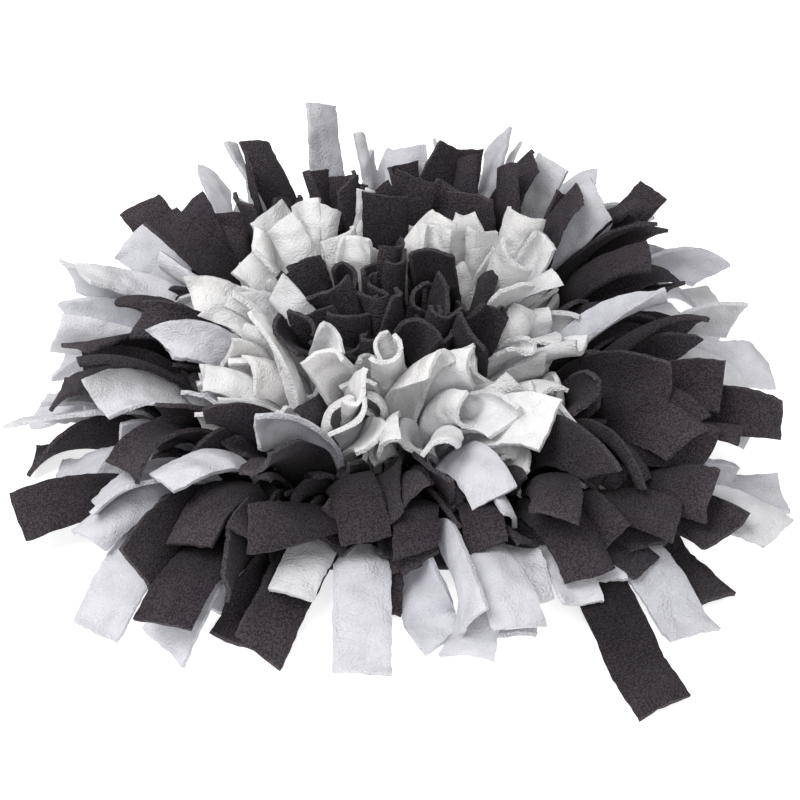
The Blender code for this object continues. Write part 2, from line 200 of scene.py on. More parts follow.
# Rows from the rim to the middle. Angles in degrees above the level; back_lift
# is added to tip_rise at the back, where the strips stand instead of hanging,
# stray is the share of strips that have the other colour, length is in
# millimetres, and the more droop, the closer to its knot a strip bends over.
ROWS = table("""
colour    root_rise  tip_rise  back_lift  curl   stray  length  droop
white         46       -40         8      0.25    0.16    90    1.60
white         53       -42        50      0.30    0.50    90    1.60
charcoal      74       -62       102      0.40    0.10    90    1.15
charcoal      83       -58       102      0.45    0.04    90    1.15
charcoal      89       -50        98      0.50    0.04    88    0.95
white         92       -46        94      0.70    0.04    86    0.95
white         93       -32        80      0.90    0.04    82    0.95
white         93       -14        62      1.05    0.04    80    0.95
white         92         6        44      1.15    0.04    78    0.95
charcoal      90        22        30      1.15    0.00    70    0.95
charcoal      90        38        20      1.20    0.00    68    0.95
charcoal      89        56         8      1.30    0.00    66    0.95
charcoal      89        74         0      1.35    0.00    66    0.95
""")

# The rings of backing, named by the strips they carry, from the outside in.
RINGS = table("""
name            first_row  last_row
rim_strips          0          1
dark_strips         2          4
light_strips        5          8
centre_strips       9         12
""")
print(len(ROWS), "rows in", len(RINGS), "rings")

# %% [markdown]
# ## Strips with a place of their own
#
# About fifty strips catch the eye, such as the long charcoal one at the front
# right and the single white one that stands up at the back. Each has its own
# root, direction and lean, and the others grow up around them.

# %% Placed strips
# Roots and lengths in millimetres, angles in degrees.
PLACED = table("""
colour      x     y   heading  root_rise  tip_rise  roll  curl  length
white     -114  -114   -115       35        -40       0   0.15    90
white      -32  -116   -109       32        -20     -20   0.20    90
white      -15  -130    -88       35        -40       0   0.15    90
white       33  -122    -71       48        -38     -11   0.30    90
white       64  -130    -95       35        -40       0   0.15    88
white      107  -125    -53       35        -40       0   0.20    90
white      117   -92    -29       32        -22       8   0.30    90
white      109   -64     -4       35        -40       0   0.15    90
white      116    60    -53       32          4      24   0.30    90
white     -116   118    177       35        -40       0   0.20    90
white     -120    98   -161       35        -40       0   0.20    90
white     -121    19    169       35        -40       0   0.20    90
white     -126   -15    177       35        -40       0   0.15    90
white     -115   -72    167       35        -40       0   0.15    90
charcoal  -112   -92   -166       32        -20     -20   0.30    90
white     -100   -80   -136       32        -22       6   1.10    90
charcoal   -78  -116   -111       36        -20       1   0.30    94
charcoal   -74   -98   -108       71        -38       6   0.30    90
charcoal   -32  -130   -140       82        -42       5   0.30    88
charcoal   -51  -108   -102      104        -58     -13   0.30    90
charcoal   -30  -108    -76      102        -70      30   0.30    90
charcoal     8  -112    -90      100        -60       1   0.30    90
charcoal     2   -94    -78      106        -64      20   0.35    92
charcoal    70  -118   -131       32        -14     -36   0.30    90
charcoal    38  -112    -81      102        -55      10   0.30    92
white       24   -84    -60      100        -43      24   0.30    94
charcoal    92   -84    -85      100        -60      20   0.50    92
charcoal    75  -106    -32       59        -15      -2   0.30    90
charcoal    82   -92    -56       36        -12      -4   0.30    92
charcoal    85  -130    -71       28        -40       0   0.20   118
charcoal    58  -124    -58       64        -50       9   0.80    88
charcoal    81   -80    -15       54         -3      -4   0.30    90
white      -80   -33    -98      102        -27     -27   0.20    90
white      -61   -36   -169       71          5     -15   0.70    90
charcoal  -112    73    126       37         15     -27   0.20    92
charcoal  -106    54    117       72          4     -45   0.20    90
charcoal  -101    64     94       40         43     -21   0.20    90
white      -39    72    153       46         53     -24   0.30    90
charcoal   -60   120    128       62         44      17   0.40    92
white      -42   124     95       78         58      50   0.20   108
charcoal   -40   108     84       82         62     -12   0.45    90
charcoal   -62   104     45       59         47       1   0.20    90
charcoal    -7    52     86       60         80      17   0.40    90
charcoal   -13    80     50       63         70       6   0.30    90
charcoal    26   107     71       50         76      -8   0.30    90
white       61   100     37       57         49      -4   0.30    90
white       75    76     25       71         34      38   0.20    90
charcoal    96   100     25       36         50       6   0.30    92
charcoal    88    50     -3       90          0       6   0.30    90
white       72    62    -47       36         50      -7   1.30    90
charcoal    10    45     40       58         78       3   0.90    90
""")
print(len(PLACED), "placed strips")

# %% [markdown]
# ## The shape of the base
#
# Rows, backing and base all follow one rounded square, the curve on which
# |x|^n + |y|^n stays the same. With n = 2 it is a circle and with a large n a
# square. The value that stays the same also tells which ring a point is over.

# %% Rounded square
def mix(a, b, t):
    return a + (b - a) * t


def ring_radius(x, y):
    """Half the side of the rounded square through this point."""
    n = SQUARENESS
    return (abs(x) ** n + abs(y) ** n) ** (1 / n)


def on_ring(radius, angle):
    c, s = math.cos(angle), math.sin(angle)
    k = radius / ring_radius(c, s)
    return k * c, k * s


def row_radius(row):
    return RIM - row * ROW_PITCH


def ring_edges(ring):
    outer = row_radius(ring["first_row"]) + ROW_PITCH / 2
    inner = row_radius(ring["last_row"]) - ROW_PITCH / 2
    if ring["first_row"] == 0:
        outer += RIM_MARGIN
    return max(inner, 0.0), outer


def ring_of(x, y):
    r = ring_radius(x, y)
    for ring in RINGS:
        if r >= ring_edges(ring)[0]:
            return ring
    return RINGS[-1]


def inside_ring(x, y):
    """The nearest place where a whole root is over one ring."""
    r = ring_radius(x, y)
    inner, outer = ring_edges(ring_of(x, y))
    low = inner + ROOT_MARGIN if inner > 0 else 0.0
    wanted = min(max(r, low), outer - ROOT_MARGIN)
    k = wanted / max(r, 1e-6)
    return x * k, y * k


print("rings reach", [round(ring_edges(ring)[1], 4) for ring in RINGS])

# %% [markdown]
# ## One strip
#
# A strip is a line with a width. The line leaves the knot at one angle and
# bends towards another one, and the width twists and curls round it. The knot
# pinches the cloth, so a strip comes out of it narrow and folded round, and
# takes two or three centimetres to open out. Two forms come out of the same
# numbers, the flat one of the solid and the curled one.

# %% How a strip is gathered
ROOT_CURL = 1.3          # half angle of the section at the knot, in radians
RELAX = 0.020            # the section opens out over this length
GATHER = 0.030           # the full width is reached at this length
ROOT_SHARE = 0.33        # share of the width that is left at the knot
STUB_WIDTH = 0.2         # share of the width at no size at all
FLOPPED = 0.62           # at this share of its size a strip has its full lean
LIMP = 0.015             # a sagging strip loses its roll this high above its bed

print("a strip is", round(STRIP_WIDTH * ROOT_SHARE, 4), "m wide at its knot")

# %% A strip's line and section
class Tail:
    """One free end of a strip, from its knot to its cut end."""

    def __init__(self, **values):
        self.__dict__.update(values)

    def but(self, **changes):
        return Tail(**{**self.__dict__, **changes})

    def line(self, spans, rest, rooted=False):
        """(share of the length, point, across, normal) at each station."""
        stations = []
        point = Vector((self.x, self.y, KNOT_TOP))
        step = self.length * self.grown / spans
        low = rest / 2 + self.bed
        # A stub stands straight up, and flops over as it grows.
        tip_rise = mix(self.root_rise, self.tip_rise, min(1.0, self.grown / FLOPPED))
        for i in range(spans + 1):
            t = i / spans
            rise = mix(tip_rise, self.root_rise, (1 - t) ** self.droop)
            heading = self.heading + self.swerve * t * t
            if point.z <= low + 1e-6 and rise < 0:
                rise = 0.0
            along = Vector((math.cos(rise) * math.cos(heading),
                            math.cos(rise) * math.sin(heading), math.sin(rise)))
            across = Vector((-math.sin(heading), math.cos(heading), 0))
            if rooted and i == 0:
                # The root goes straight down into the backing.
                foot = Vector((self.x, self.y, ROOT_DEPTH))
                stations.append((0.0, foot, across, Vector((0, 0, 1)).cross(across)))
            roll = (self.roll + self.twist * t) * min(1.0, t * SPANS)
            if self.tip_rise < 0:
                roll *= min(1.0, max(0.0, (point.z - low) / LIMP))
            across = Matrix.Rotation(roll, 3, along) @ across
            stations.append((t, point.copy(), across, along.cross(across).normalized()))
            point = point + along * step
            point.z = max(point.z, low)
        return stations

    def section(self, t, columns, curled):
        """(offset across, offset along the normal, slope) over the width."""
        s = t * self.length * self.grown
        half = abs(self.curl) + (ROOT_CURL - abs(self.curl)) * math.exp(-s / RELAX)
        share = min(1.0, s / GATHER)
        share = share * share * (3 - 2 * share)
        width = STRIP_WIDTH * mix(STUB_WIDTH, 1.0, self.grown) * mix(ROOT_SHARE, 1.0, share)
        if not curled:
            reach = width / (2 * half) * math.sin(half)
            return [(-reach, 0.0, 0.0), (reach, 0.0, 0.0)]
        side = 1 if self.curl >= 0 else -1
        # With some skew one edge curls more, and with much it turns back.
        skew = self.skew * t
        slopes = []
        for j in range(columns + 1):
            u = 2 * j / columns - 1
            slopes.append(half * (u + skew * (u * u - 1 / 3)))
        x = y = 0.0
        points = [(x, y)]
        for a, b in zip(slopes, slopes[1:]):
            x += math.cos((a + b) / 2) * width / columns
            y += math.sin((a + b) / 2) * width / columns
            points.append((x, y))
        x = sum(p[0] for p in points) / len(points)
        y = sum(p[1] for p in points) / len(points)
        return [(p - x, side * (q - y), -side * a) for (p, q), a in zip(points, slopes)]

    def skin(self, spans, columns, curled, thick, rest, rooted=False):
        """Vertices and quads of the closed strip, its line as high as one
        with the thickness `rest` would have to lie."""
        upper, lower = [], []
        for t, point, across, normal in self.line(spans, rest, rooted):
            pairs = []
            for x, y, slope in self.section(t, columns, curled):
                out = across * math.sin(slope) + normal * math.cos(slope)
                middle = point + across * x + normal * y
                pairs.append((middle + out * thick / 2, middle - out * thick / 2))
            lowest = min(min(a.z, b.z) for a, b in pairs)
            lift = Vector((0, 0, max(0.0, (rest - thick) / 2 - lowest)))
            upper.append([a + lift for a, b in pairs])
            lower.append([b + lift for a, b in pairs])
        m, n = len(upper[0]), len(upper)
        verts = [v for row in upper for v in row] + [v for row in lower for v in row]
        half = n * m
        faces = []
        for i in range(n - 1):
            for j in range(m - 1):
                k = i * m + j
                faces.append((k, k + 1, k + m + 1, k + m))
                faces.append((half + k, half + k + m, half + k + m + 1, half + k + 1))
            k, e = i * m, i * m + m - 1
            faces.append((k, k + m, half + k + m, half + k))
            faces.append((e, half + e, half + e + m, e + m))
        for j in range(m - 1):
            k = (n - 1) * m + j
            faces.append((j, half + j, half + j + 1, j + 1))
            faces.append((k, k + 1, half + k + 1, half + k))
        if not curled:
            # Split here, so that every later step splits them the same way.
            faces = [tri for a, b, c, d in faces for tri in ((a, b, c), (a, c, d))]
        return verts, faces


print("a strip has", SPANS, "straight spans in its solid")

# %% [markdown]
# ## Keeping strips apart
#
# Real strips push each other aside. Here a strip is only allowed to lie where
# neither its flat nor its curled form meets a neighbour. Blender's BVH tree
# finds crossing faces quickly, and a box test in front of it skips the pairs
# that are far apart.

# %% Tests for touching
FLAT, CURLED = 0, 1      # the two forms of a strip
CURLED_SPANS = 7         # along and across the curled form that is tested
CURLED_COLUMNS = 4
ROOT_SPACING = 0.008     # roots stay this far apart


def digs_in(verts):
    """Whether a flat rooted strip dips into the base past its own knot."""
    stations = SPANS + 2
    for side in (0, 2 * stations):
        for k in range(side + 4, side + 2 * stations):
            for point in (verts[k], (verts[k] + verts[k - 2]) / 2):
                if (point.z < CLEAR_OF_BACKING
                        and ring_radius(point.x, point.y) < BASE_HALF + CLEAR_OF_EDGE):
                    return True
    return False


class Fence:
    """A tail's two forms, flat and curled, as trees to test for touching.

    The curled form is only made once the flat one has passed."""

    FORMS = ((SPANS, 1, False, SOLID_FLEECE + SOLID_GAP, SOLID_FLEECE, True),
             (CURLED_SPANS, CURLED_COLUMNS, True, CURLED_FLEECE, FLEECE, False))

    def __init__(self, tail):
        self.tail = tail
        self.trees = [None, None]

    def tree(self, form):
        if self.trees[form] is None:
            verts, faces = self.tail.skin(*self.FORMS[form])
            xs, ys, zs = zip(*verts)
            box = (min(xs), min(ys), min(zs), max(xs), max(ys), max(zs))
            low = form == FLAT and digs_in(verts)
            self.trees[form] = (BVHTree.FromPolygons(verts, faces), box, low)
        return self.trees[form]

    def meets(self, others, form):
        """Whether this form of the tail meets the same form of another."""
        tree, a, _ = self.tree(form)
        for other in others:
            beside, b, _ = other.tree(form)
            if (a[0] > b[3] or b[0] > a[3] or a[1] > b[4] or b[1] > a[4]
                    or a[2] > b[5] or b[2] > a[5]):
                continue
            if tree.overlap(beside):
                return True
        return False

    def touches(self, others):
        x, y = self.tail.x, self.tail.y
        for other in others:
            if math.hypot(other.tail.x - x, other.tail.y - y) < ROOT_SPACING:
                return True
        low = self.tree(FLAT)[2]
        return low or self.meets(others, FLAT) or self.meets(others, CURLED)


print("tested forms:", len(Fence.FORMS))

# %% [markdown]
# ## Stubs, then growth
#
# Full-size strips at random would meet almost at once. So all of them start as
# short stubs, and each is then turned, rolled, bent and lengthened in small
# steps. A step that makes it touch something is taken back, which is how grass
# or hair fills its space. All chance comes from one seed, so the mat is the
# same each time.

# %% Placed stubs
SEED = 7
START = 0.12             # share of its size at which a strip starts
HANGING = -40            # degrees: a placed strip with this lean lies on the floor
EARLY_BEND = 1.6         # such a strip bends close to its knot
EVEN_BEND = 1.0          # and the others bend evenly
KNOT_ROLL = 0.3          # share of a placed strip's roll that it has at the knot


def placed_tails():
    tails = []
    for row in PLACED:
        x, y = inside_ring(row["x"] / 1000, row["y"] / 1000)
        roll = math.radians(row["roll"])
        # The edges of a placed strip curl down, so its curl is below zero.
        tails.append(Tail(
            x=x, y=y, heading=math.radians(row["heading"]),
            root_rise=math.radians(row["root_rise"]), tip_rise=math.radians(row["tip_rise"]),
            droop=EARLY_BEND if row["tip_rise"] == HANGING else EVEN_BEND,
            length=row["length"] / 1000, swerve=0.0,
            roll=KNOT_ROLL * roll, twist=(1 - KNOT_ROLL) * roll,
            curl=-row["curl"], skew=0.0, bed=0.0,
            colour=row["colour"], row=-1, grown=START))
    return tails


print(len(placed_tails()), "placed stubs")

# %% [markdown]
# The other stubs follow their rows. Chance turns, rolls and curls each of them
# a little differently, more so towards the middle, and gives some of them the
# other colour.

# %% Loose stubs
SPACING = 0.0142         # between neighbours in a row
ROW_FILL = 1.05          # and this much fuller, as some strips give way later
SCATTER = 12             # degrees that headings vary by at the rim
SCATTER_MORE = 3         # and by how much more in each row further in
LEAN_SCATTER = 10        # degrees that the lean varies by
SWERVE_SCATTER = 0.2     # radians that a strip turns by on its way
ROLL_SCATTER = 0.5       # radians at the knot
TWIST_SCATTER = 0.7      # radians from the knot to the end
SKEW_SCATTER, SKEW_MOST = 0.7, 1.3
CURL_RANGE = (0.6, 1.3)  # shares of the row's curl
CURL_SIDES = (1, 1, -1)  # the edges of two of three curl up
BACK_FROM = 0.25         # the back starts where the sine of the angle is this
FRONT_STRAYS = 0.9       # strays are up to this share more common in front
STEEPEST = 92.0          # degrees, for a strip at its knot
BED = 0.0030             # each row lies this much higher than the one outside it
TOP_BED = 6              # up to this row


def other(colour):
    return "white" if colour == "charcoal" else "charcoal"


def loose_tail(chance, k, angle, x, y):
    """A stub of row k at (x, y), which lies at this angle from the middle."""
    row = ROWS[k]
    lift = row["back_lift"] * max(0.0, math.sin(angle) - BACK_FROM) / (1 - BACK_FROM)
    root_rise = min(STEEPEST, row["root_rise"] + lift / 4)
    lean = row["tip_rise"] + lift + chance.gauss(0, LEAN_SCATTER)
    strays = chance.random() < row["stray"] * (1 - FRONT_STRAYS * math.sin(angle))
    return Tail(
        x=x, y=y, heading=angle + chance.gauss(0, math.radians(SCATTER + SCATTER_MORE * k)),
        root_rise=math.radians(root_rise), tip_rise=math.radians(lean),
        droop=row["droop"], length=row["length"] / 1000,
        swerve=chance.gauss(0, SWERVE_SCATTER),
        roll=chance.gauss(0, ROLL_SCATTER), twist=chance.gauss(0, TWIST_SCATTER),
        curl=row["curl"] * chance.uniform(*CURL_RANGE) * chance.choice(CURL_SIDES),
        skew=max(-SKEW_MOST, min(SKEW_MOST, chance.gauss(0, SKEW_SCATTER))),
        bed=min(k, TOP_BED) * BED, row=k, grown=START,
        colour=other(row["colour"]) if strays else row["colour"])


def row_tails(chance):
    """The stubs of all rows, every other row shifted by half a place."""
    tails = []
    for k in range(len(ROWS)):
        radius = row_radius(k)
        count = max(2, int(2 * math.pi * radius * ROW_FILL / SPACING))
        for i in range(count):
            angle = 2 * math.pi * (i + 0.5 * (k % 2)) / count
            tails.append(loose_tail(chance, k, angle, *on_ring(radius, angle)))
    return tails


print(len(row_tails(random.Random(SEED))), "loose stubs in", len(ROWS), "rows")

# %% [markdown]
# A change is small and of one kind at a time: the direction, the roll, the
# bend, the curl or the place of the knot. It gets smaller as the mat fills, and
# no strip strays far from how it started, so that its row still shows. A strip
# with a place of its own only turns by a few degrees.

# %% How far one change goes
# Each change is drawn from a bell curve whose width comes first here. MOST,
# LEAST and RANGE are limits, and a plain angle is in radians.
deg = math.radians
HOLD, HOLD_TWIST = deg(3), deg(4)    # a placed strip stays this close to its angles
HOLD_PLACE = 0.0015                  # and its knot this close to its place
TURNS, ROLLS, BENDS, CURLS = 0.3, 0.6, 0.8, 0.9  # shares of each kind, added up
TURN = deg(12)                       # of the heading,
TURN_MOST, TURN_PER_ROW = 32, 4      # in all: degrees at the rim, and more per row
SWERVE, SWERVE_MOST = 0.2, 0.7       # radians
ROLL, TWIST, ROLL_MOST = deg(25), deg(20), 1.5
LEAN, LEAN_STUB = 10, 25             # degrees, and how much more for a stub
LEAN_MOST, LEAN_MOST_STUB = 25, 60   # and in all
RISE, RISE_RANGE = deg(5), (deg(30), deg(100))
DROOP, DROOP_RANGE = 0.25, (0.7, 2.6)
SINK = 0.003                         # a strip sinks by up to this, and never rises
CURL, CURL_LEAST = 0.25, 0.08
CURL_OVER, CURL_MORE = 1.5, 0.1      # the most: this many times the row's, and a bit
FLIP = 0.15                          # share of the curls that change sides
SKEW, SKEW_LIMIT = 0.3, 1.4
MOVE, MOVE_MOST = 0.003, 0.008       # of the knot
STRETCH, SHORTER, LONGER = 0.004, 0.010, 0.008

print("one change in", round(1 / (1 - CURLS)), "moves a knot")

# %% One small change
def limit(value, low, high):
    return max(low, min(high, value))


def nudged(tail, first, chance, size):
    """The tail with one of its ways of lying changed a little, or None."""
    new = tail.but()
    if tail.row < 0:
        new.heading = first.heading + chance.gauss(0, HOLD)
        new.root_rise = first.root_rise + chance.gauss(0, HOLD)
        new.tip_rise = first.tip_rise + chance.gauss(0, HOLD)
        new.roll = first.roll + chance.gauss(0, HOLD)
        new.twist = first.twist + chance.gauss(0, HOLD_TWIST)
        new.x, new.y = inside_ring(first.x + chance.gauss(0, HOLD_PLACE),
                                   first.y + chance.gauss(0, HOLD_PLACE))
        return new
    kind = chance.random()
    if kind < TURNS:
        new.heading = tail.heading + chance.gauss(0, TURN) * size
        if abs(new.heading - first.heading) > deg(TURN_MOST + TURN_PER_ROW * tail.row):
            return None
        swerve = tail.swerve + chance.gauss(0, SWERVE) * size
        new.swerve = limit(swerve, -SWERVE_MOST, SWERVE_MOST)
    elif kind < ROLLS:
        new.roll = limit(tail.roll + chance.gauss(0, ROLL) * size, -ROLL_MOST, ROLL_MOST)
        new.twist = limit(tail.twist + chance.gauss(0, TWIST) * size, -ROLL_MOST, ROLL_MOST)
    elif kind < BENDS:
        small = 1 - tail.grown
        lean = chance.gauss(0, deg(LEAN + LEAN_STUB * small)) * size
        new.tip_rise = tail.tip_rise + lean
        most = deg(LEAN_MOST + LEAN_MOST_STUB * small)
        if not -deg(LEAN_MOST) < new.tip_rise - first.tip_rise < most:
            return None
        new.root_rise = limit(tail.root_rise + chance.gauss(0, RISE) * size, *RISE_RANGE)
        new.droop = limit(tail.droop + chance.gauss(0, DROOP), *DROOP_RANGE)
        new.bed = max(0.0, tail.bed - chance.random() * SINK)
    elif kind < CURLS:
        new.curl = tail.curl + chance.gauss(0, CURL) * size
        if chance.random() < FLIP:
            new.curl = -new.curl
        new.skew = limit(tail.skew + chance.gauss(0, SKEW) * size, -SKEW_LIMIT, SKEW_LIMIT)
        most = CURL_OVER * ROWS[tail.row]["curl"] + CURL_MORE
        if not CURL_LEAST < abs(new.curl) < most:
            return None
    else:
        new.x, new.y = inside_ring(tail.x + chance.gauss(0, MOVE),
                                   tail.y + chance.gauss(0, MOVE))
        if math.hypot(new.x - first.x, new.y - first.y) > MOVE_MOST:
            return None
        new.length = limit(tail.length + chance.gauss(0, STRETCH),
                           first.length - SHORTER, first.length + LONGER)
    return new


# %% [markdown]
# In every sweep each strip gets a chance to change and one to grow, in a new
# order, and late small ones get three. A few times on the way the strips that
# are stuck are taken out, and their neighbours use the room. The placed ones grow
# ahead of the others, so that they reach their full length.

# %% Growth
SWEEPS = 150             # rounds of small changes
CLEARINGS = 5            # sweeps in which stuck strips are taken out
STUCK = 0.45             # a strip is stuck if it grows slower than this
GROWTH = (0.01, 0.06)    # least and most that a strip grows by in one step
PACE = 1.25              # how fast they may grow, from START at the first sweep
HEAD_START = 0.35        # how far the placed strips are ahead of the others
CALM = 0.35              # share of the size of a change that is left at the end
LATE = 0.6               # after this share of the sweeps, small strips get more turns
SHIFTS = (0, 0, 1, 1, 2, 2, 3, 3, 4, 4, 5, 5)
SHIFT = 0.002            # a placed stub in the way is tried so many times this far off
KEEP = 0.62              # strips that stay smaller than this are left out
MOST = 296               # and the smallest of those beyond this number
REACH = 0.15             # only strips with roots this close can touch


def arrange():
    """All the tails, grown to full size among each other."""
    chance = random.Random(SEED)
    placed = placed_tails()
    loose = [t for t in row_tails(chance)
             if all(math.hypot(t.x - p.x, t.y - p.y) >= ROOT_SPACING for p in placed)]
    fences = []
    for tail in placed + loose:
        for shift in SHIFTS if tail.row < 0 else (0,):
            x, y = inside_ring(tail.x + chance.gauss(0, SHIFT) * shift,
                               tail.y + chance.gauss(0, SHIFT) * shift)
            fence = Fence(tail.but(x=x, y=y))
            if not fence.touches(fences):
                fences.append(fence)
                break
    first = [f.tail for f in fences]
    for sweep in range(SWEEPS):
        done = sweep / SWEEPS
        if sweep % (SWEEPS // CLEARINGS) == 0:
            # Those that are stuck early give way to the others.
            going = [i for i, f in enumerate(fences)
                     if f.tail.row < 0 or f.tail.grown >= START + STUCK * done]
            fences, first = [fences[i] for i in going], [first[i] for i in going]
            near = [[j for j, b in enumerate(first)
                     if j != i and math.hypot(a.x - b.x, a.y - b.y) < REACH]
                    for i, a in enumerate(first)]
            order = list(range(len(fences)))
        size = mix(1.0, CALM, done)
        chance.shuffle(order)
        for i in order:
            small = fences[i].tail.grown < 1
            turns = 3 if small and done >= LATE else 1
            for growing in (False, True) * turns:
                tail = fences[i].tail
                if growing:
                    ahead = HEAD_START if tail.row < 0 else 0.0
                    most = min(1.0, START + PACE * done + ahead)
                    if tail.grown >= most:
                        continue
                    new = tail.but(grown=min(most, tail.grown + chance.uniform(*GROWTH)))
                else:
                    new = nudged(tail, first[i], chance, size)
                if new is None:
                    continue
                fence = Fence(new)
                if not fence.touches([fences[j] for j in near[i]]):
                    fences[i] = fence
    kept = sorted((f.tail for f in fences if f.tail.grown >= KEEP),
                  key=lambda tail: -tail.grown)
    return kept[:MOST]


tails = arrange()
print(len(tails), "strips,", sum(t.grown >= 1 for t in tails), "at full size")

# %% [markdown]
# ## Filling the gaps
#
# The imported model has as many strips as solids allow. The real mat is fuller
# still: between its big strips are others that only show as an edge or a
# corner. They grow here in the same way, one after another, in whatever room
# the curled strips have left. They have no solid of their own, so only the
# curled form is tested.

# %% Strips between the strips
FILL_TRIES = 9000
FILL_STEPS = 60
FILL_KEEP = 0.42         # strips that stay smaller than this are left out here
FILL_GROWTH = (0.02, 0.07)
FILL_CHANGE = 0.6        # the size of their changes
EARLY, HOPELESS = 20, 0.3  # at this step, one smaller than this is given up


def stub(chance):
    """A short strip at any place on the mat."""
    angle = chance.uniform(0, 2 * math.pi)
    k = min(int(len(ROWS) * (1 - math.sqrt(chance.random()))), len(ROWS) - 1)
    radius = row_radius(k) + chance.uniform(-0.5, 0.5) * ROW_PITCH
    return loose_tail(chance, k, angle, *inside_ring(*on_ring(radius, angle)))


def fill(tails):
    """More strips, grown between those that are there."""
    chance = random.Random(SEED + 1)
    fences = [Fence(t) for t in tails]
    added = []
    for _ in range(FILL_TRIES):
        first = stub(chance)
        near = [fence for fence in fences
                if math.hypot(fence.tail.x - first.x, fence.tail.y - first.y) < REACH]
        tail = first
        if Fence(tail).meets(near, CURLED):
            continue
        for step in range(FILL_STEPS):
            if step % 2:
                new = nudged(tail, first, chance, FILL_CHANGE)
            else:
                new = tail.but(grown=min(1.0, tail.grown + chance.uniform(*FILL_GROWTH)))
            if new is not None and not Fence(new).meets(near, CURLED):
                tail = new
            if tail.grown >= 1 or step == EARLY and tail.grown < HOPELESS:
                break
        if tail.grown >= FILL_KEEP:
            fences.append(Fence(tail))
            added.append(tail)
    return added


extra = fill(tails)
print(len(extra), "more strips in the gaps")

# %% [markdown]
# ## Uneven rings
#
# Whoever knotted the mat changed colour a few knots early or late. On the left
# the light ring is broader, and in front it reaches further in. Angles are
# counter-clockwise from +X, so 270 degrees is the front.

# %% Colours of single strips
PATCHES = table("""
colour     first_row  last_row  first_angle  last_angle
white          4         4          138          212
white          9         9          225          315
""")

for tail in tails + extra:
    angle = math.degrees(math.atan2(tail.y, tail.x)) % 360
    for patch in PATCHES:
        if (patch["first_row"] <= tail.row <= patch["last_row"]
                and patch["first_angle"] <= angle <= patch["last_angle"]):
            tail.colour = patch["colour"]
print(sum(t.colour == "white" for t in tails + extra), "white strips of", len(tails + extra))

# %% [markdown]
# ## Fleece
#
# Fleece is a knit whose loops are brushed up and sheared. One face has small
# soft pebbles about a millimetre across, the other is smoother, and a cut edge
# shows the loose core. So a strip has three finishes. All three are the same
# recipe of patterns in Object coordinates, in metres: Voronoi cells with wavering
# borders for the pebbles, which are domes with painted shade in the pits between
# them, a fine noise for the fibres, and two wide ones for faint stains and for
# dents. Down by the knots, where the strips crowd and little light gets in, shade
# is painted into the cloth too, twice over as dark as the shade of the pits.
# Sheen gives the soft light rim of brushed fibres.

# %% Fleece recipe
FIBRES = 4200.0          # scales of the patterns, per metre
STAINS = 90.0
DENTS = 55.0
DENT_DEPTH = 0.008       # in metres


def link_math(nodes, links, kind, first, second):
    """A Math node of one kind, its inputs linked or set."""
    node = nodes.new("ShaderNodeMath")
    node.operation = kind
    for socket, value in zip(node.inputs, (first, second)):
        if isinstance(value, (int, float)):
            socket.default_value = value
        else:
            links.new(value, socket)
    return node.outputs["Value"]


def colour_ramp(nodes, links, factor, stops):
    """A Color Ramp over factor, with stops of (position, colour)."""
    node = nodes.new("ShaderNodeValToRGB")
    ramp = node.color_ramp
    while len(ramp.elements) < len(stops):
        ramp.elements.new(0.5)
    for element, (position, colour) in zip(ramp.elements, stops):
        element.position = position
        element.color = (*colour, 1)
    links.new(factor, node.inputs["Fac"])
    return node.outputs["Color"]


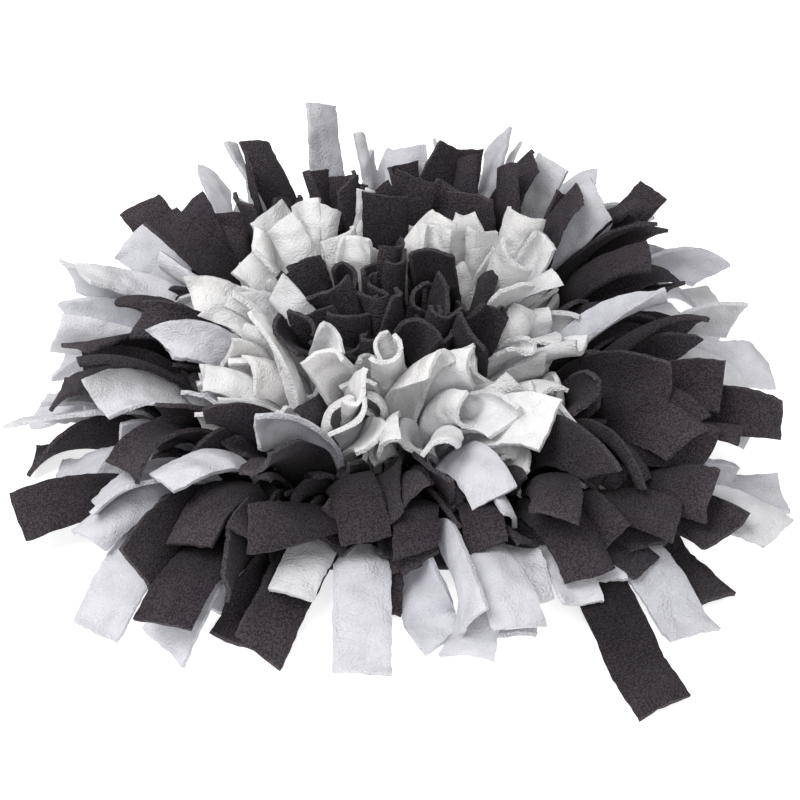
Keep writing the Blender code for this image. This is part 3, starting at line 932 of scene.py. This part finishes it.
def fleece(name, painted_pit_shade, body, painted_light_tint, pebble, relief, sheen):
    """Brushed cloth. Its colours are the painted shade of the pits and of the parts
    down by the knots, the body, and a tint that paints light or shade on the middle
    of the mat; pebble is the size of a lump and relief its height in metres. A
    float attribute of each strip says how far it goes from body to tint."""
    material = bpy.data.materials.new(name)
    material.use_nodes = True
    nodes, links = material.node_tree.nodes, material.node_tree.links
    shader = nodes["Principled BSDF"]
    shader.inputs["Roughness"].default_value = 0.95
    shader.inputs["Specular IOR Level"].default_value = 0.1
    shader.inputs["Sheen Weight"].default_value = sheen
    shader.inputs["Sheen Roughness"].default_value = 0.5
    place = nodes.new("ShaderNodeTexCoord").outputs["Object"]

    def pattern(kind, scale, **settings):
        node = nodes.new(kind)
        links.new(place, node.inputs["Vector"])
        node.inputs["Scale"].default_value = scale
        for key, value in settings.items():
            node.inputs[key].default_value = value
        return node

    wander = pattern("ShaderNodeTexNoise", 0.6 / pebble, Detail=1.0)
    shift = nodes.new("ShaderNodeVectorMath")
    shift.operation = "MULTIPLY_ADD"
    links.new(wander.outputs["Color"], shift.inputs[0])
    shift.inputs[1].default_value = (0.9 * pebble,) * 3
    links.new(place, shift.inputs[2])
    pebbles = nodes.new("ShaderNodeTexVoronoi")
    pebbles.feature = "SMOOTH_F1"
    pebbles.inputs["Smoothness"].default_value = 0.5
    pebbles.inputs["Scale"].default_value = 1 / pebble
    links.new(shift.outputs["Vector"], pebbles.inputs["Vector"])
    fibres = pattern("ShaderNodeTexNoise", FIBRES, Detail=1.0)
    stains = pattern("ShaderNodeTexNoise", STAINS, Detail=3.0)
    dents = pattern("ShaderNodeTexNoise", DENTS, Detail=1.0)

    def attribute(label):
        node = nodes.new("ShaderNodeAttribute")
        node.attribute_name = label
        return node.outputs["Fac"]

    def times(first, second):
        node = nodes.new("ShaderNodeMix")
        node.data_type = "RGBA"
        node.blend_type = "MULTIPLY"
        node.inputs["Factor"].default_value = 1.0
        links.new(first, node.inputs["A"])
        links.new(second, node.inputs["B"])
        return node.outputs["Result"]

    # Painted light and shade: the tint lightens the inner whites and darkens the inner
    # charcoal. It is mixed in per strip together with a random tone.
    blend = nodes.new("ShaderNodeMix")
    blend.data_type = "RGBA"
    blend.blend_type = "MIX"
    links.new(attribute("tone_and_painted_light"), blend.inputs["Factor"])
    blend.inputs["A"].default_value = (*body, 1)
    blend.inputs["B"].default_value = (*painted_light_tint, 1)
    # Painted shade: the pits between the pebbles are darkened towards the pit colour.
    colour = times(blend.outputs["Result"], colour_ramp(
        nodes, links, pebbles.outputs["Distance"], [(0.30, (1, 1, 1)), (0.64, painted_pit_shade)]))
    colour = times(colour, colour_ramp(
        nodes, links, stains.outputs["Fac"],
        [(0.32, (0.88, 0.88, 0.88)), (0.62, (1, 1, 1))]))
    # Painted shade: darker down towards the knots, to the square of the pit colour.
    colour = times(colour, colour_ramp(
        nodes, links, attribute("painted_knot_shade"),
        [(0.0, (1, 1, 1)), (0.55, tuple(part * part for part in painted_pit_shade))]))
    links.new(colour, shader.inputs["Base Color"])

    height = link_math(nodes, links, "MULTIPLY_ADD", fibres.outputs["Fac"], 0.25)
    domes = link_math(nodes, links, "SUBTRACT", 1.0, pebbles.outputs["Distance"])
    links.new(domes, height.node.inputs[2])
    bump = nodes.new("ShaderNodeBump")
    bump.inputs["Strength"].default_value = 0.9
    bump.inputs["Distance"].default_value = relief
    links.new(height, bump.inputs["Height"])
    broad = nodes.new("ShaderNodeBump")
    broad.inputs["Strength"].default_value = 1.0
    broad.inputs["Distance"].default_value = DENT_DEPTH
    links.new(dents.outputs["Fac"], broad.inputs["Height"])
    links.new(broad.outputs["Normal"], bump.inputs["Normal"])
    links.new(bump.outputs["Normal"], shader.inputs["Normal"])
    return material


print("fibres, stains and dents are", [round(1000 / n, 1) for n in (FIBRES, STAINS, DENTS)],
      "mm across")

# %% [markdown]
# There are two colours of fleece with three finishes each: the pebbled nap, the
# smoother back and the cut edge. Shadows show far more on white than on charcoal,
# so the white pebbles have less relief. The tint is painted light and shade: in the
# middle of the mat, where the strips shade each other, the white is painted warmer
# and lighter than at the rim, and the charcoal is painted darker.

# %% White and charcoal fleece
WHITE_SHEEN, CHARCOAL_SHEEN = 0.2, 0.05

# In each finish the first colour is painted shade for the pits and the knots, and the tint
# paints light or shade on the middle of the mat.
FINISHES = {
    "white": [
        fleece("white fleece nap", painted_pit_shade=(0.93, 0.93, 0.94), body=(0.66, 0.66, 0.70),
               painted_light_tint=(0.91, 0.895, 0.875), pebble=0.0012, relief=0.0006, sheen=WHITE_SHEEN),
        fleece("white fleece back", painted_pit_shade=(0.94, 0.94, 0.95), body=(0.66, 0.66, 0.70),
               painted_light_tint=(0.90, 0.89, 0.875), pebble=0.0010, relief=0.0005, sheen=WHITE_SHEEN),
        fleece("white fleece cut", painted_pit_shade=(0.84, 0.84, 0.86), body=(0.72, 0.72, 0.755),
               painted_light_tint=(0.92, 0.905, 0.89), pebble=0.0010, relief=0.0010, sheen=WHITE_SHEEN)],
    "charcoal": [
        fleece("charcoal fleece nap", painted_pit_shade=(0.42, 0.40, 0.42), body=(0.122, 0.105, 0.120),
               painted_light_tint=(0.081, 0.070, 0.081), pebble=0.0010, relief=0.0026, sheen=CHARCOAL_SHEEN),
        fleece("charcoal fleece back", painted_pit_shade=(0.45, 0.43, 0.45), body=(0.094, 0.080, 0.092),
               painted_light_tint=(0.058, 0.051, 0.058), pebble=0.0010, relief=0.0018, sheen=CHARCOAL_SHEEN),
        fleece("charcoal fleece cut", painted_pit_shade=(0.45, 0.43, 0.45), body=(0.118, 0.103, 0.115),
               painted_light_tint=(0.080, 0.071, 0.079), pebble=0.0010, relief=0.0014, sheen=CHARCOAL_SHEEN)],
}
print("finishes:", ", ".join(m.name for kinds in FINISHES.values() for m in kinds))

# %% [markdown]
# ## From a line to a strip of cloth
#
# A strip is a plain grid, 8 squares across and up to 32 along, whose points are
# moved on to the curled form. The line between its tested stations is filled in
# with a Catmull-Rom curve, which passes through every station. Scissors don't
# cut quite straight, so the ends are a little slanted, the long edges ripple and
# every rim point is off by a few tenths of a millimetre.

# %% Moving a grid on to a strip
COLUMNS = 8
LENGTHS = 32
KEYS = CURLED_SPANS + 1  # spans of the rooted line, the first one in the backing
SLANT = 0.0035           # how far a corner is cut off at most
RIPPLE = 0.0018          # height of the waves in the long edges
WAVES = 7                # radians of such a wave along a strip
ROUGH_CUT = 0.0008       # how far a rim point is off at most
CUT_GRAIN = 700          # per metre: how soon that changes along the rim
# The tint paints light on the inner whites and shade on the inner charcoal. The inner strips
# get at least this share of it, and the outer ones a random share up to the next.
INNER_PAINTED_LIGHT = 0.6          # the inner strips get at least this much of the tint
OUTER_RANDOM_TINT = 0.4          # and the outer ones at most this much
NAP_BELOW = 0.35         # share of the strips that have the nap on the other side
CUT_SEED = 11

snips = random.Random(CUT_SEED)
noise.seed_set(CUT_SEED)  # without it, this noise differs from run to run


def between(a, b, c, d, f):
    """The Catmull-Rom point at share f of the way from b to c."""
    return 0.5 * (2 * b + (c - a) * f + (2 * a - 5 * b + 4 * c - d) * f * f
                  + (3 * b - a - 3 * c + d) * f ** 3)


def squares_along(tail):
    return max(12, round(LENGTHS * tail.length * tail.grown / TAIL_LENGTH))


def cloth_rows(tail, lengths):
    """The middle of the cloth as lengths + 1 rows of COLUMNS + 1 points."""
    keys = tail.line(CURLED_SPANS, FLEECE, rooted=True)
    slant = snips.uniform(-1, 1) * SLANT
    phase = snips.uniform(0, 6)
    rows = []
    for i in range(lengths + 1):
        place = KEYS * i / lengths
        k = min(int(place), KEYS - 1)
        f = place - k
        a, b, c, d = (keys[min(max(k + step, 0), KEYS)] for step in (-1, 0, 1, 2))
        t = mix(b[0], c[0], f)
        point = between(a[1], b[1], c[1], d[1], f)
        across = b[2].lerp(c[2], f).normalized()
        normal = b[3].lerp(c[3], f)
        normal = (normal - across * normal.dot(across)).normalized()
        along = across.cross(normal)
        row, lowest = [], 1.0
        for j, (x, y, slope) in enumerate(tail.section(t, COLUMNS, True)):
            u = 2 * j / COLUMNS - 1
            y += RIPPLE * math.sin(phase + WAVES * t) * u * abs(u) * t
            spot = point + across * x + normal * y + along * (slant * u * t ** 3)
            if j in (0, COLUMNS) or i == lengths:
                spot += ROUGH_CUT * noise.noise_vector(spot * CUT_GRAIN)
            out = across * math.sin(slope) + normal * math.cos(slope)
            lowest = min(lowest, spot.z - abs(out.z) * FLEECE / 2)
            row.append(spot)
        lift = max(0.0, -lowest)
        rows.append([spot + Vector((0, 0, lift)) for spot in row])
    return rows


def add_strip(shape, tail):
    """Adds one strip's middle surface to shape as a grid of squares."""
    floats = shape.verts.layers.float
    tone_and_painted_light_layer = floats.get("tone_and_painted_light") or floats.new("tone_and_painted_light")
    painted_knot_shade_layer = floats.get("painted_knot_shade") or floats.new("painted_knot_shade")
    # A random tone for each strip. The inner rings also get painted light or shade, because
    # their strips lean to the tint.
    tone_and_painted_light = snips.random() ** 2
    if ring_of(tail.x, tail.y)["name"] in ("light_strips", "centre_strips"):
        tone_and_painted_light = mix(INNER_PAINTED_LIGHT, 1.0, tone_and_painted_light)
    else:
        tone_and_painted_light *= OUTER_RANDOM_TINT
    lengths = squares_along(tail)
    made = bmesh.ops.create_grid(shape, x_segments=COLUMNS, y_segments=lengths, size=0.5)
    rows = cloth_rows(tail, lengths)
    for vert in made["verts"]:
        column = round((vert.co.x + 0.5) * COLUMNS)
        row = round((vert.co.y + 0.5) * lengths)
        vert.co = rows[row][column]
        vert[tone_and_painted_light_layer] = tone_and_painted_light
        # Painted shade, strongest by the knot and gone towards the cut end.
        vert[painted_knot_shade_layer] = 1 - row / lengths
    if snips.random() < NAP_BELOW:
        faces = {face for vert in made["verts"] for face in vert.link_faces}
        bmesh.ops.reverse_faces(shape, faces=list(faces))


trial = bmesh.new()
add_strip(trial, tails[0])
print("a strip has", len(trial.verts), "points and", len(trial.faces), "squares")
trial.free()

# %% [markdown]
# ## Thickness and edges
#
# The grid has no thickness yet. A Solidify modifier grows it by half the fleece
# to each side and gives the far side and the rim their own finishes. A small
# Bevel rounds the cut corners, as scissors leave them in soft cloth.

# %% Cloth modifiers
SOFT_EDGE = 0.22         # share of the thickness that is rounded off
EDGE_ANGLE = 50          # degrees: flatter bends aren't edges


def into_cloth(name, shape, finishes, thickness):
    """An object from a middle surface, thickened and with soft edges."""
    for face in shape.faces:
        face.smooth = True
    mesh = bpy.data.meshes.new(name)
    shape.to_mesh(mesh)
    shape.free()
    for finish in finishes:
        mesh.materials.append(finish)
    item = bpy.data.objects.new(name, mesh)
    bpy.context.scene.collection.objects.link(item)
    thicken = item.modifiers.new("thickness", "SOLIDIFY")
    thicken.thickness = thickness
    thicken.offset = 0
    thicken.material_offset = 1
    thicken.material_offset_rim = 2
    soften = item.modifiers.new("soft edge", "BEVEL")
    soften.width = SOFT_EDGE * thickness
    soften.segments = 2
    soften.profile = 0.5
    soften.material = -1
    soften.limit_method = "ANGLE"
    soften.angle_limit = math.radians(EDGE_ANGLE)
    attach(item, "root")
    return item


def triangles(item):
    """How many triangles the item has once its modifiers are applied."""
    ready = item.evaluated_get(bpy.context.evaluated_depsgraph_get())
    mesh = ready.to_mesh()
    count = sum(len(face.vertices) - 2 for face in mesh.polygons)
    ready.to_mesh_clear()
    return count


print("edges are rounded by", round(SOFT_EDGE * FLEECE * 1000, 2), "mm")

# %% [markdown]
# ## The strips
#
# All strips of one ring and one colour are joined in one piece, which takes the
# place of that ring's solid. A strip may have another colour than its ring, as a
# few do where the maker mixed them.

# %% Strips, ring by ring
total = 0
for ring in RINGS:
    for colour in ("white", "charcoal"):
        sewn = [t for t in tails + extra
                if ring_of(t.x, t.y) is ring and t.colour == colour]
        if not sewn:
            continue
        shape = bmesh.new()
        for tail in sewn:
            add_strip(shape, tail)
        piece = into_cloth(ring["name"] + "_" + colour, shape, FINISHES[colour], FLEECE)
        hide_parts(ring["name"])
        count = triangles(piece)
        total += count
        print(piece.name, len(sewn), "strips,", count, "triangles")
print("strips in all:", total, "triangles")

# %% [markdown]
# ## Backing and base
#
# The knots sit in rings of felt on a square of the same felt. Hardly anything of
# it shows between the strips, so it needs little more than its outline, its
# thickness and a felt that is rougher and flatter than fleece. A ring is made
# from two circles whose points are moved on to the rounded square, with faces
# bridged between them.

# %% Felt
LOOP_POINTS = 96

# Its first colour is painted shade in the pits of the felt.
felt = fleece("felt", painted_pit_shade=(0.40, 0.40, 0.42), body=(0.060, 0.058, 0.062),
              painted_light_tint=(0.048, 0.046, 0.050), pebble=0.0007, relief=0.0003,
              sheen=CHARCOAL_SHEEN)


def rounded_loop(shape, radius, height):
    """The edges of a closed loop on the rounded square."""
    made = bmesh.ops.create_circle(shape, cap_ends=False, segments=LOOP_POINTS, radius=1.0)
    for vert in made["verts"]:
        x, y = on_ring(radius, math.atan2(vert.co.y, vert.co.x))
        vert.co = (x, y, height)
    return list(dict.fromkeys(edge for vert in made["verts"] for edge in vert.link_edges))


shape = bmesh.new()
height = (BACKING_BOTTOM + BACKING_TOP) / 2
area = 0.0
for ring in RINGS:
    inner, outer = ring_edges(ring)
    edges = rounded_loop(shape, outer - RING_GAP / 2, height)
    if inner > 0:
        edges += rounded_loop(shape, inner + RING_GAP / 2, height)
        made = bmesh.ops.bridge_loops(shape, edges=edges)
    else:
        made = bmesh.ops.contextual_create(shape, geom=edges)
    area += sum(face.calc_area() for face in made["faces"])
bmesh.ops.recalc_face_normals(shape, faces=shape.faces)
backing = into_cloth("backing", shape, [felt], BACKING_TOP - BACKING_BOTTOM)
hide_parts(*[ring["name"] for ring in RINGS])
side = 2 * ring_edges(RINGS[0])[1]

shape = bmesh.new()
made = bmesh.ops.contextual_create(shape, geom=rounded_loop(shape, BASE_HALF, BASE_THICK / 2))
base_area = sum(face.calc_area() for face in made["faces"])
base_felt = into_cloth("base_felt", shape, [felt], BASE_THICK)
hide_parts("base_mat")
print("backing", round(area, 4), "m2, base", round(base_area, 4), "m2")
